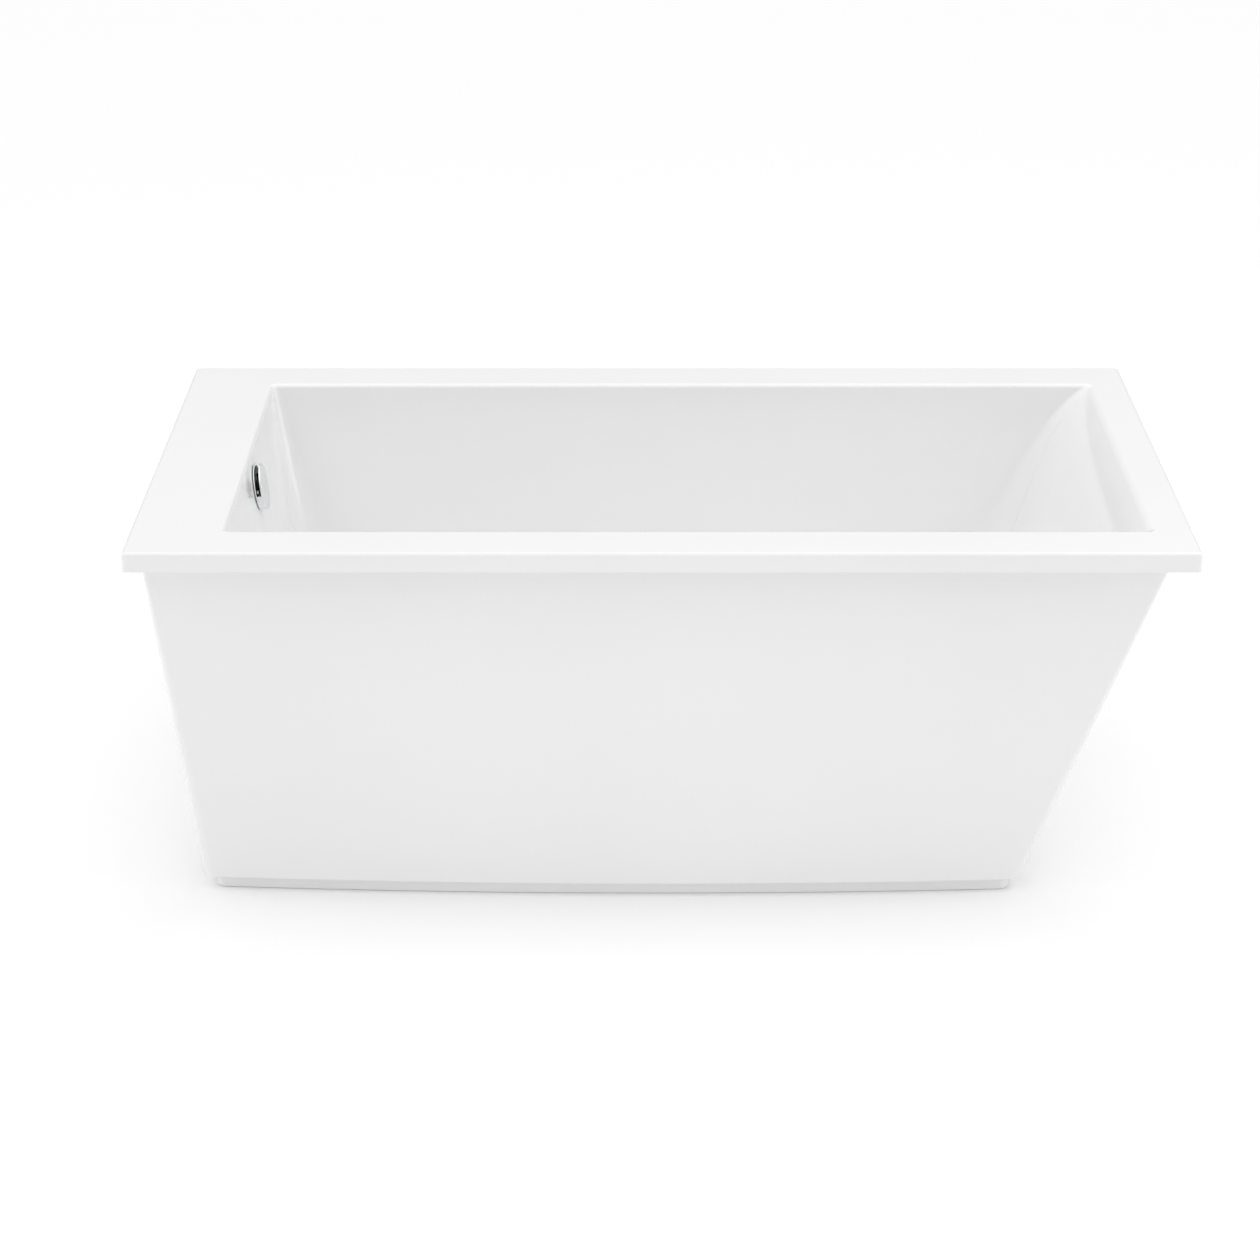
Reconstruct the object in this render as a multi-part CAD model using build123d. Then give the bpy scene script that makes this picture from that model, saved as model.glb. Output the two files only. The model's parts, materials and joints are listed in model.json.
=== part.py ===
from build123d import *
import math
import os

# A freestanding rectangular bathtub with a tapered skirt. Millimetres. The origin is on the floor under the
# middle of the deck: +X runs to the backrest end, +Y to the back and +Z up.

# Deck and lip
DECK_LENGTH = 1676.0
DECK_WIDTH = 914.0
TUB_HEIGHT = 622.0
LIP_HEIGHT = 32.0
DECK_CORNER = 6.5
DECK_EDGE = 6.0
SHELL_WALL = 6.0

# Basin: its mouth is set back from the deck's edges, and its walls are functions of the depth below the deck
LEFT_DECK = 150.0
RIGHT_DECK = 64.0
SIDE_DECK = 97.0
BASIN_DEPTH = 488.0
LEFT_DRAFT = 8.0  # degrees from vertical
SIDE_DRAFT = 12.0
BACKREST_LEAN = 0.38  # sideways run of the backrest per unit of depth, below its rolled top
ROLL_RUN = 44.0  # how far the rolled top of the backrest reaches in
ROLL_DEPTH = 46.0
MOUTH_EDGE = 6.0
MOUTH_CORNER = 10.0
FLOOR_CORNER = 96.0
MOUTH_BOW = 0.3
SIDE_BOW = 30.0  # how far the side walls bow out at mid-length, at floor level
BASIN_FLOOR_RADIUS = 80.0
FLOOR_FALL = 0.01  # rise of the floor per unit of length away from the drain

# Skirt: straight-sided under the lip, bowed and shorter at the bottom
APRON_WALL = 5.0
APRON_BOTTOM = 25.0
APRON_TOP_LEFT_INSET = 24.0
APRON_TOP_RIGHT_INSET = 40.0
APRON_TOP_SIDE_INSET = 35.0
APRON_TOP_CORNER = 7.0
APRON_BOTTOM_LEFT_INSET = 87.6
APRON_BOTTOM_RIGHT_INSET = 245.0
APRON_BOTTOM_SIDE_INSET = 39.5
APRON_BOTTOM_CORNER = 26.0
APRON_TOP_BOW_RADIUS = 1e6  # straight to the eye
APRON_BOW_RADIUS = 10900.0
APRON_RETURN = 36.0
LIP_GAP = 0.5

# Plinth
PLINTH_SIDE_SETBACK = 14.5
PLINTH_END_SETBACK = 18.0
PLINTH_WALL = 5.0
PLINTH_RETURN = 30.0
PLINTH_FLOOR_GAP = 1.5

# Rim stiffeners and the bond bead under them
STIFFENER_THICK = 15.0
STIFFENER_GAP = 2.0
BEAD_WIDTH = 12.0
BEAD_INSET = 10.0

# Floor board and bearers
BOARD_THICK = 15.0
BOARD_SIDE_GAP = 11.0  # from the edges of the basin's flat floor
BOARD_DRAIN_GAP = 62.0
BOARD_END_GAP = 30.0
BEARER_WIDTH = 40.0

# Base frame
TUBE_SIZE = 30.0
TUBE_WALL = 2.0
RAIL_SIDE_GAP = 137.5  # from the skirt's bottom edge at mid-length to a long rail's middle
RAIL_END_GAP = 45.0  # from the plinth's inner face
CROSS_DRAIN_GAP = 120.0
CROSS_END_GAP = 44.0
CAP_FLANGE = 3.0
CAP_PLUG = 12.0

# Levelling feet
FOOT_END_DISTANCE = 40.0
PAD_RADIUS = 25.0
PAD_HEIGHT = 10.0
PAD_BEVEL = 3.0
STEM_RADIUS = 6.0
STEM_STEP = 2.0  # the spigot and the flats are this much smaller and larger than the stem
SPIGOT_DEPTH = 6.0
NUT_FLAT_WALL = 3.5
NUT_HEIGHT = 8.0
NUT_ACCESS = 12.0  # room for a spanner between the pad and the locknut
FOOT_TRAVEL = 12.0
STEM_SPARE = 8.0
RUNNING_CLEARANCE = 0.05
MOVING_GAP = 0.3

# Skirt brackets
BRACKET_WIDTH = 40.0
BRACKET_THICK = 3.0
BRACKET_LEG = 26.0
BRACKET_MARGIN = 4.0
BRACKET_RAIL_ENDS = 180.0  # from each end of a long rail to the nearest bracket
BRACKET_SCREW_INSET = 23.0  # from the plinth's outer face at mid-length
SCREW_RADIUS = 2.5
SCREW_HEAD_RADIUS = 5.0
SCREW_HEAD_HEIGHT = 2.5
SCREW_CLEARANCE = 0.1

# Overflow, set square to the left wall
OVERFLOW_DEPTH = 61.0
OVERFLOW_HOLE_RADIUS = 24.0
OVERFLOW_SCREW_HEAD_RADIUS = 4.0
OVERFLOW_WASHER_THICK = 1.4
OVERFLOW_WASHER_INSET = 2.5  # inside the cover's edge
RETAINER_GAP = 1.8  # inside the cover's rim
RETAINER_THICK = 2.6
RETAINER_BAR = 9.0
RETAINER_HUB_RADIUS = 7.0
COVER_RADIUS = 39.0
COVER_WALL = 2.2
COVER_BACK_RING = 1.8
COVER_FACE = 3.0
COVER_HEIGHT = 12.5
COVER_SLOT_HALF_ANGLE = 96.0
COVER_EDGE = 1.4
SET_SCREW_RADIUS = 2.0
SET_SCREW_KEY_RADIUS = 1.1
SET_SCREW_RECESS = 0.5
GASKET_THICK = 4.0
GASKET_INSET = 1.0  # inside the retainer's edge
GASKET_CLEARANCE = 0.05  # from the wall
ELBOW_FLANGE_THICK = 6.0

# Pipes
PIPE_RADIUS = 19.05
PIPE_WALL = 1.6
SOCKET_WALL = 4.9
OVERFLOW_PIPE_GAP = 30.6  # from the basin's outer face at the overflow to the tube's axis
PIPE_DROP = 39.0  # from the basin's underside at the drain to the axis of the level pipes
PIPE_ENGAGEMENT = 22.0
SLIP_NUT_WALL = 4.0
SLIP_NUT_FACE = 4.0
SLIP_NUT_HEIGHT = 16.0
SLIP_WASHER_HEIGHT = 3.0
TAILPIECE_BOTTOM = 14.0
TAILPIECE_SEAT = 8.0  # into the waste shoe
BEAD_PROUD = 1.2
BEAD_HEIGHT = 2.5

# Drain and its toe-touch stopper
DRAIN_SETBACK = 49.4  # from the left edge of the basin's flat floor
DRAIN_DISH_MARGIN = 6.5
DRAIN_DISH_DEPTH = 3.0
DRAIN_BOSS_MARGIN = 13.5
FLANGE_RADIUS = 36.5
FLANGE_THICK = 2.5
FLANGE_BODY_WALL = 4.5
FLANGE_BORE = 19.0
FLANGE_BODY_DEPTH = 46.0
SPOKE_WIDTH = 3.0
SPOKE_HEIGHT = 6.0
SPOKE_HUB_WALL = 3.3
SPOKE_DEPTH = 36.0
POST_RADIUS = 6.0
POST_SHOULDER = 1.3
POST_TOP_DEPTH = 8.0
SLEEVE_WALL = 2.5
SLEEVE_ROOF = 1.5
SLEEVE_LENGTH = 26.0
CAP_INSET = 6.5  # inside the flange's edge
CAP_THICK = 4.5
CAP_CROWN = 2.0
CAP_EDGE = 1.2
SEAL_INSET = 3.0  # inside the cap's edge
SEAL_BORE_MARGIN = 2.5  # outside the flange's bore
SEAL_HEIGHT = 2.4
SPRING_INSET = 1.6  # from the post's radius to the coil's middle
SPRING_WIRE = 0.6
SPRING_TURNS = 5
SHOE_GASKET_THICK = 3.0
SHOE_FLANGE_MARGIN = 0.5
SHOE_FLANGE_THICK = 4.0
SHOE_WALL = 4.0
SHOE_TAIL = 12.0

# Derived radii
SPIGOT_RADIUS = STEM_RADIUS - STEM_STEP
NUT_ACROSS_FLATS = 2 * (STEM_RADIUS + NUT_FLAT_WALL)
RETAINER_RADIUS = COVER_RADIUS - COVER_WALL - RETAINER_GAP
OVERFLOW_SCREW_SPREAD = (OVERFLOW_HOLE_RADIUS + RETAINER_RADIUS) / 2
OVERFLOW_WASHER_RADIUS = COVER_RADIUS - OVERFLOW_WASHER_INSET
GASKET_RADIUS = RETAINER_RADIUS - GASKET_INSET
SOCKET_BORE = PIPE_RADIUS + RUNNING_CLEARANCE
SOCKET_RADIUS = SOCKET_BORE + SOCKET_WALL
SLIP_NUT_RADIUS = SOCKET_RADIUS + SLIP_NUT_WALL
FLANGE_BODY_RADIUS = FLANGE_BORE + FLANGE_BODY_WALL
DRAIN_DISH_RADIUS = FLANGE_RADIUS + DRAIN_DISH_MARGIN
DRAIN_BOSS_RADIUS = FLANGE_RADIUS + DRAIN_BOSS_MARGIN
POST_THREAD_RADIUS = POST_RADIUS - POST_SHOULDER
SPOKE_HUB_RADIUS = POST_THREAD_RADIUS + SPOKE_HUB_WALL
SLEEVE_RADIUS = POST_RADIUS + SLEEVE_WALL
SPRING_RADIUS = POST_RADIUS - SPRING_INSET
CAP_RADIUS = FLANGE_RADIUS - CAP_INSET
SEAL_RADIUS = CAP_RADIUS - SEAL_INSET
SEAL_INNER_RADIUS = FLANGE_BORE + SEAL_BORE_MARGIN
SHOE_RADIUS = FLANGE_BODY_RADIUS + SHOE_WALL
SHOE_FLANGE_RADIUS = FLANGE_RADIUS - SHOE_FLANGE_MARGIN

# Derived places along X
MOUTH_LEFT = -DECK_LENGTH / 2 + LEFT_DECK
MOUTH_RIGHT = DECK_LENGTH / 2 - RIGHT_DECK
FLOOR_WALL_LEFT = MOUTH_LEFT + BASIN_DEPTH * math.tan(math.radians(LEFT_DRAFT))
FLOOR_WALL_RIGHT = MOUTH_RIGHT - ROLL_RUN - BACKREST_LEAN * BASIN_DEPTH
BOW_HALF_CHORD = (FLOOR_WALL_RIGHT - FLOOR_WALL_LEFT) / 2
FLOOR_LEFT = FLOOR_WALL_LEFT + BASIN_FLOOR_RADIUS
FLOOR_RIGHT = FLOOR_WALL_RIGHT - BASIN_FLOOR_RADIUS
DRAIN_X = FLOOR_LEFT + DRAIN_SETBACK
OVERFLOW_X = MOUTH_LEFT + OVERFLOW_DEPTH * math.tan(math.radians(LEFT_DRAFT))
OVERFLOW_PIPE_X = OVERFLOW_X - SHELL_WALL - OVERFLOW_PIPE_GAP
PLINTH_LEFT = -DECK_LENGTH / 2 + APRON_BOTTOM_LEFT_INSET + PLINTH_END_SETBACK
PLINTH_RIGHT = DECK_LENGTH / 2 - APRON_BOTTOM_RIGHT_INSET - PLINTH_END_SETBACK
RAIL_LEFT_END = PLINTH_LEFT + PLINTH_WALL + RAIL_END_GAP
RAIL_RIGHT_END = PLINTH_RIGHT - PLINTH_WALL - RAIL_END_GAP
CROSS_LEFT = DRAIN_X + CROSS_DRAIN_GAP
CROSS_RIGHT = FLOOR_RIGHT - CROSS_END_GAP
CROSS_POSITIONS = {"left": CROSS_LEFT, "middle": (CROSS_LEFT + CROSS_RIGHT) / 2, "right": CROSS_RIGHT}
BRACKET_LEFT = RAIL_LEFT_END + BRACKET_RAIL_ENDS
BRACKET_RIGHT = RAIL_RIGHT_END - BRACKET_RAIL_ENDS
BRACKET_POSITIONS = (BRACKET_LEFT, (BRACKET_LEFT + BRACKET_RIGHT) / 2, BRACKET_RIGHT)

# Derived places along Y
MOUTH_HALF_WIDTH = DECK_WIDTH / 2 - SIDE_DECK
FLOOR_HALF_WIDTH = MOUTH_HALF_WIDTH - BASIN_DEPTH * math.tan(math.radians(SIDE_DRAFT)) - BASIN_FLOOR_RADIUS
BOARD_HALF_WIDTH = FLOOR_HALF_WIDTH - BOARD_SIDE_GAP
APRON_BOTTOM_HALF_WIDTH = DECK_WIDTH / 2 - APRON_BOTTOM_SIDE_INSET
PLINTH_HALF_WIDTH = APRON_BOTTOM_HALF_WIDTH - PLINTH_SIDE_SETBACK
RAIL_Y = APRON_BOTTOM_HALF_WIDTH - RAIL_SIDE_GAP
BRACKET_SCREW_Y = PLINTH_HALF_WIDTH - BRACKET_SCREW_INSET

# Derived levels
LIP_BOTTOM = TUB_HEIGHT - LIP_HEIGHT
STIFFENER_BOTTOM = TUB_HEIGHT - SHELL_WALL - STIFFENER_THICK
FLOOR_LEVEL = TUB_HEIGHT - BASIN_DEPTH
DISH_LEVEL = FLOOR_LEVEL - DRAIN_DISH_DEPTH
FLANGE_TOP = DISH_LEVEL + FLANGE_THICK
DRAIN_UNDERSIDE = DISH_LEVEL - SHELL_WALL
PIPE_LEVEL = DRAIN_UNDERSIDE - PIPE_DROP
SHOE_FLOOR = PIPE_LEVEL - SOCKET_RADIUS - SHOE_TAIL
RAIL_BOTTOM = PAD_HEIGHT + NUT_ACCESS + NUT_HEIGHT
RAIL_TOP = RAIL_BOTTOM + TUBE_SIZE
STEM_HEIGHT = RAIL_TOP + NUT_HEIGHT + FOOT_TRAVEL + STEM_SPARE

SOCKET_LENGTH = SOCKET_RADIUS + PIPE_ENGAGEMENT
FEET = {
    "front_left": (RAIL_LEFT_END + FOOT_END_DISTANCE, -RAIL_Y),
    "front_right": (RAIL_RIGHT_END - FOOT_END_DISTANCE, -RAIL_Y),
    "back_left": (RAIL_LEFT_END + FOOT_END_DISTANCE, RAIL_Y),
    "back_right": (RAIL_RIGHT_END - FOOT_END_DISTANCE, RAIL_Y),
}


def cylinder(radius, bottom, top, x=0.0, y=0.0):
    """An upright cylinder between two levels."""
    middle = (bottom + top) / 2
    return Pos(x, y, middle) * Cylinder(radius, top - bottom)


def ring(outer, inner, bottom, top, x=0.0, y=0.0):
    return cylinder(outer, bottom, top, x, y) - cylinder(inner, bottom, top, x, y)


def block(x0, x1, y0, y1, z0, z1):
    """A box between its lowest and highest corners."""
    size = Box(x1 - x0, y1 - y0, z1 - z0)
    return Pos((x0 + x1) / 2, (y0 + y1) / 2, (z0 + z1) / 2) * size


def hexagon(across_flats, bottom, top, x=0.0, y=0.0):
    corner_radius = across_flats / math.sqrt(3)
    profile = Pos(x, y, bottom) * RegularPolygon(corner_radius, 6)
    return extrude(profile, top - bottom)


def bowed_outline(plane, left, right, half_width, side_radius, corner, bow_middle=0.0):
    """A closed wire with straight ends, sides that are arcs of side_radius, and four round corners."""
    centre_y = half_width - side_radius
    reach = side_radius - corner

    def corner_arc(end, inward):
        """The round corner at one end: its point on the end, its middle and its point on the side."""
        cx = end + inward * corner
        cy = centre_y + math.sqrt(reach**2 - (cx - bow_middle) ** 2)
        towards_side = Vector(cx - bow_middle, cy - centre_y).normalized()
        towards_end = Vector(-inward, 0)
        halfway = (towards_side + towards_end).normalized()
        centre = Vector(cx, cy)
        return centre + towards_end * corner, centre + halfway * corner, centre + towards_side * corner

    left_points = corner_arc(left, 1)
    right_points = corner_arc(right, -1)

    def front(point):
        return Vector(point.X, -point.Y)

    side_middle = Vector(bow_middle, half_width)
    edges = [
        Line(front(left_points[0]), left_points[0]),
        ThreePointArc(*left_points),
        ThreePointArc(left_points[2], side_middle, right_points[2]),
        ThreePointArc(right_points[2], right_points[1], right_points[0]),
        Line(right_points[0], front(right_points[0])),
        ThreePointArc(front(right_points[0]), front(right_points[1]), front(right_points[2])),
        ThreePointArc(front(right_points[2]), front(side_middle), front(left_points[2])),
        ThreePointArc(front(left_points[2]), front(left_points[1]), front(left_points[0])),
    ]
    return Wire([edge.edge() for edge in edges]).moved(plane.location)


def basin_section(depth, offset=0.0, wall=0.0):
    """The basin's outline at a depth, grown by offset, or by a wall measured square to the backrest."""
    share = depth / BASIN_DEPTH
    tilt = math.atan(FLOOR_FALL * share)
    plane = Plane(
        origin=(DRAIN_X, 0, TUB_HEIGHT - depth),
        x_dir=(math.cos(tilt), 0, math.sin(tilt)),
        z_dir=(-math.sin(tilt), 0, math.cos(tilt)),
    )
    grow = offset + wall
    fade = math.exp(-depth / ROLL_DEPTH)
    backrest_slope = ROLL_RUN / ROLL_DEPTH * fade + BACKREST_LEAN
    backrest_wall = wall * math.sqrt(1 + backrest_slope**2)
    left = MOUTH_LEFT + depth * math.tan(math.radians(LEFT_DRAFT)) - grow
    right = MOUTH_RIGHT - ROLL_RUN * (1 - fade) - BACKREST_LEAN * depth + offset + backrest_wall
    bow = MOUTH_BOW + SIDE_BOW * share**1.5
    half_width = MOUTH_HALF_WIDTH - depth * math.tan(math.radians(SIDE_DRAFT)) + bow + grow
    side_radius = BOW_HALF_CHORD**2 / (2 * bow) + grow
    corner = MOUTH_CORNER + (FLOOR_CORNER - MOUTH_CORNER) * share + grow
    middle = (MOUTH_LEFT + MOUTH_RIGHT) / 2 - BACKREST_LEAN * depth / 2 - DRAIN_X
    return bowed_outline(plane, left - DRAIN_X, right - DRAIN_X, half_width, side_radius, corner, middle)


def basin_solid(wall):
    """The basin as a solid plug, grown by a wall. Without a wall it also has the rounded mouth."""
    knee = BASIN_DEPTH - BASIN_FLOOR_RADIUS
    top = MOUTH_EDGE if wall == 0 else SHELL_WALL / 2
    fractions = (0.0, 0.035, 0.09, 0.17, 0.28, 0.44, 0.68, 1.0)
    walls = [basin_section(top + (knee - top) * f, 0, wall) for f in fractions]
    solid = Solid.make_loft(walls)
    floor = []
    for step in range(7):
        angle = math.radians(90 * step / 6)
        depth = knee + (BASIN_FLOOR_RADIUS + wall) * math.sin(angle)
        inset = (BASIN_FLOOR_RADIUS + wall) * (1 - math.cos(angle))
        floor.append(basin_section(depth, -inset, wall))
    solid = solid + Solid.make_loft(floor)
    if wall == 0:
        mouth = []
        for step in range(5):
            angle = math.radians(90 * step / 4)
            mouth.append(basin_section(MOUTH_EDGE * (1 - math.cos(angle)), MOUTH_EDGE * (1 - math.sin(angle))))
        solid = solid + Solid.make_loft(mouth)
    return solid


def floor_plane(level):
    """The plane along the sloped floor that crosses the drain's axis at a level."""
    tilt = math.atan(FLOOR_FALL)
    return Plane(
        origin=(DRAIN_X, 0, level),
        x_dir=(math.cos(tilt), 0, math.sin(tilt)),
        z_dir=(-math.sin(tilt), 0, math.cos(tilt)),
    )


def overflow_plane():
    """On the left wall's inner face at the overflow: local Z points into the basin and local Y up the wall."""
    draft = math.radians(LEFT_DRAFT)
    return Plane(
        origin=(OVERFLOW_X, 0, TUB_HEIGHT - OVERFLOW_DEPTH),
        x_dir=(0, 1, 0),
        z_dir=(math.cos(draft), 0, math.sin(draft)),
    )


def on_overflow(solid):
    return overflow_plane().location * solid


def tub_shell():
    """The deck with its folded lip, and the basin hanging in it."""
    deck = extrude(Pos(0, 0, LIP_BOTTOM) * RectangleRounded(DECK_LENGTH, DECK_WIDTH, DECK_CORNER), LIP_HEIGHT)
    deck = fillet(deck.faces().sort_by(Axis.Z)[-1].edges(), DECK_EDGE)
    inner_length = DECK_LENGTH - 2 * SHELL_WALL
    inner_width = DECK_WIDTH - 2 * SHELL_WALL
    pocket = RectangleRounded(inner_length, inner_width, DECK_CORNER - SHELL_WALL / 2)
    deck = deck - extrude(Pos(0, 0, LIP_BOTTOM) * pocket, LIP_HEIGHT - SHELL_WALL)
    shell = deck + basin_solid(SHELL_WALL)
    shell = shell + cylinder(DRAIN_BOSS_RADIUS, DRAIN_UNDERSIDE, FLOOR_LEVEL, DRAIN_X)
    shell = shell - basin_solid(0)
    dish_bottom = DRAIN_DISH_RADIUS - DRAIN_DISH_DEPTH
    dish_top = DRAIN_DISH_RADIUS + DRAIN_DISH_DEPTH
    dish = Cone(dish_bottom, dish_top, 2 * DRAIN_DISH_DEPTH)
    shell = shell - Pos(DRAIN_X, 0, DISH_LEVEL + DRAIN_DISH_DEPTH) * dish
    shell = shell - cylinder(FLANGE_BODY_RADIUS + SCREW_CLEARANCE, DRAIN_UNDERSIDE - 1, FLOOR_LEVEL, DRAIN_X)
    drill_length = 4 * SHELL_WALL
    shell = shell - on_overflow(Cylinder(OVERFLOW_HOLE_RADIUS, drill_length))
    for side in (-1, 1):
        hole = Cylinder(SCREW_RADIUS + SCREW_CLEARANCE, drill_length)
        shell = shell - on_overflow(Pos(side * OVERFLOW_SCREW_SPREAD, 0, 0) * hole)
    return shell


def apron_outline(level, inset=0.0):
    """The skirt's outline at its top or its bottom, moved in by inset."""
    at_top = level == LIP_BOTTOM
    left_inset = APRON_TOP_LEFT_INSET if at_top else APRON_BOTTOM_LEFT_INSET
    right_inset = APRON_TOP_RIGHT_INSET if at_top else APRON_BOTTOM_RIGHT_INSET
    side_inset = APRON_TOP_SIDE_INSET if at_top else APRON_BOTTOM_SIDE_INSET
    corner = APRON_TOP_CORNER if at_top else APRON_BOTTOM_CORNER
    side_radius = APRON_TOP_BOW_RADIUS if at_top else APRON_BOW_RADIUS
    return bowed_outline(
        Plane(origin=(0, 0, level)),
        -DECK_LENGTH / 2 + left_inset + inset,
        DECK_LENGTH / 2 - right_inset - inset,
        DECK_WIDTH / 2 - side_inset - inset,
        side_radius - inset,
        max(corner - inset, 1.0),
    )


def prism(outline, height):
    return extrude(Face(outline), height, dir=(0, 0, 1))


def bracket_screws():
    """Where the skirt screws stand, as points on the ground plane."""
    return [(x, side * BRACKET_SCREW_Y) for x in BRACKET_POSITIONS for side in (-1, 1)]


def drill_skirt_holes(solid):
    for x, y in bracket_screws():
        solid = solid - cylinder(SCREW_RADIUS + SCREW_CLEARANCE, 0, RAIL_TOP, x, y)
    return solid


def apron():
    """The skirt, with a flange turned out under the deck and one turned in at the bottom."""
    outside = Solid.make_loft([apron_outline(LIP_BOTTOM), apron_outline(APRON_BOTTOM)], ruled=True)
    inside = Solid.make_loft(
        [apron_outline(LIP_BOTTOM, APRON_WALL), apron_outline(APRON_BOTTOM, APRON_WALL)], ruled=True
    )
    flange_length = DECK_LENGTH - 2 * SHELL_WALL - 2 * LIP_GAP
    flange_width = DECK_WIDTH - 2 * SHELL_WALL - 2 * LIP_GAP
    flange = RectangleRounded(flange_length, flange_width, DECK_CORNER)
    top = extrude(Pos(0, 0, LIP_BOTTOM) * flange, APRON_WALL)
    top = top - prism(apron_outline(LIP_BOTTOM, APRON_WALL), APRON_WALL)
    bottom = prism(apron_outline(APRON_BOTTOM), APRON_WALL)
    bottom = bottom - prism(apron_outline(APRON_BOTTOM, APRON_RETURN), APRON_WALL)
    return drill_skirt_holes((outside - inside) + top + bottom)


def plinth_outline(level, inset=0.0):
    corner = APRON_BOTTOM_CORNER - PLINTH_SIDE_SETBACK / 2 - inset
    return bowed_outline(
        Plane(origin=(0, 0, level)),
        PLINTH_LEFT + inset,
        PLINTH_RIGHT - inset,
        PLINTH_HALF_WIDTH - inset,
        APRON_BOW_RADIUS - PLINTH_SIDE_SETBACK - inset,
        max(corner, 1.0),
    )


def plinth():
    """The recessed ring at the floor, with a flange turned in against the skirt's."""
    height = APRON_BOTTOM - PLINTH_FLOOR_GAP
    wall = prism(plinth_outline(PLINTH_FLOOR_GAP), height)
    wall = wall - prism(plinth_outline(PLINTH_FLOOR_GAP, PLINTH_WALL), height)
    flange_level = APRON_BOTTOM - PLINTH_WALL
    flange = prism(plinth_outline(flange_level), PLINTH_WALL)
    flange = flange - prism(plinth_outline(flange_level, PLINTH_RETURN), PLINTH_WALL)
    return drill_skirt_holes(wall + flange)


def rim_stiffeners():
    """Plywood strips bonded under the deck, one to each side."""
    top = TUB_HEIGHT - SHELL_WALL
    x_out = DECK_LENGTH / 2 - SHELL_WALL - STIFFENER_GAP
    y_out = DECK_WIDTH / 2 - SHELL_WALL - STIFFENER_GAP
    y_in = MOUTH_HALF_WIDTH + SHELL_WALL + STIFFENER_GAP
    x_left = MOUTH_LEFT - SHELL_WALL - STIFFENER_GAP
    roll_slope = ROLL_RUN / ROLL_DEPTH + BACKREST_LEAN
    x_right = MOUTH_RIGHT + SHELL_WALL * math.sqrt(1 + roll_slope**2) + STIFFENER_GAP
    return {
        "rim_stiffener_left": block(-x_out, x_left, -y_out, y_out, STIFFENER_BOTTOM, top),
        "rim_stiffener_right": block(x_right, x_out, -y_out, y_out, STIFFENER_BOTTOM, top),
        "rim_stiffener_front": block(x_left, x_right, -y_out, -y_in, STIFFENER_BOTTOM, top),
        "rim_stiffener_back": block(x_left, x_right, y_in, y_out, STIFFENER_BOTTOM, top),
    }


def bond_bead():
    """Adhesive between the skirt's top flange and the rim stiffeners."""
    length = DECK_LENGTH - 2 * (SHELL_WALL + BEAD_INSET)
    width = DECK_WIDTH - 2 * (SHELL_WALL + BEAD_INSET)
    bottom = LIP_BOTTOM + APRON_WALL
    bead = Rectangle(length, width) - Rectangle(length - 2 * BEAD_WIDTH, width - 2 * BEAD_WIDTH)
    return extrude(Pos(0, 0, bottom) * bead, STIFFENER_BOTTOM - bottom)


def floor_board():
    """Plywood bonded under the basin's floor, along its slope."""
    plane = floor_plane(FLOOR_LEVEL - SHELL_WALL - BOARD_THICK)
    length = FLOOR_RIGHT - BOARD_END_GAP - DRAIN_X - BOARD_DRAIN_GAP
    middle = BOARD_DRAIN_GAP + length / 2
    board = Pos(middle, 0, BOARD_THICK / 2) * Box(length, 2 * BOARD_HALF_WIDTH, BOARD_THICK)
    return plane.location * board


def bearer(x):
    """A timber block between a cross member and the floor board, planed to the floor's slope."""
    under_board = floor_plane(FLOOR_LEVEL - SHELL_WALL - BOARD_THICK)
    half = BEARER_WIDTH / 2
    timber = block(x - half, x + half, -BOARD_HALF_WIDTH, BOARD_HALF_WIDTH, RAIL_TOP, FLOOR_LEVEL)
    cutter_size = 4 * DECK_LENGTH
    cutter = under_board.location * (Pos(0, 0, cutter_size / 2) * Box(cutter_size, cutter_size, cutter_size))
    return timber - cutter


def square_tube(x0, x1, y0, y1, along):
    """A square tube at rail level, open at both ends along X or Y."""
    wall_x = 0 if along == "X" else TUBE_WALL
    wall_y = 0 if along == "Y" else TUBE_WALL
    inner_bottom = RAIL_BOTTOM + TUBE_WALL
    inner_top = RAIL_TOP - TUBE_WALL
    outside = block(x0, x1, y0, y1, RAIL_BOTTOM, RAIL_TOP)
    return outside - block(x0 + wall_x, x1 - wall_x, y0 + wall_y, y1 - wall_y, inner_bottom, inner_top)


def rail(side):
    """A long rail of the base frame, drilled for its two feet."""
    half = TUBE_SIZE / 2
    tube = square_tube(RAIL_LEFT_END, RAIL_RIGHT_END, side * RAIL_Y - half, side * RAIL_Y + half, "X")
    for x, y in FEET.values():
        if y * side > 0:
            tube = tube - cylinder(STEM_RADIUS + 1, RAIL_BOTTOM, RAIL_TOP, x, y)
    return tube


def cross_member(x):
    half = TUBE_SIZE / 2
    reach = RAIL_Y - half
    return square_tube(x - half, x + half, -reach, reach, "Y")


def rail_caps():
    """A plastic plug in each open end of the long rails."""
    caps = []
    inner = TUBE_SIZE - 2 * TUBE_WALL
    middle = (RAIL_BOTTOM + RAIL_TOP) / 2
    for y in (-RAIL_Y, RAIL_Y):
        for end, out in ((RAIL_LEFT_END, -1), (RAIL_RIGHT_END, 1)):
            head = Pos(end + out * CAP_FLANGE / 2, y, middle) * Box(CAP_FLANGE, TUBE_SIZE, TUBE_SIZE)
            plug = Pos(end - out * CAP_PLUG / 2, y, middle) * Box(CAP_PLUG, inner, inner)
            caps.append(head + plug)
    return Compound(caps)


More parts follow.
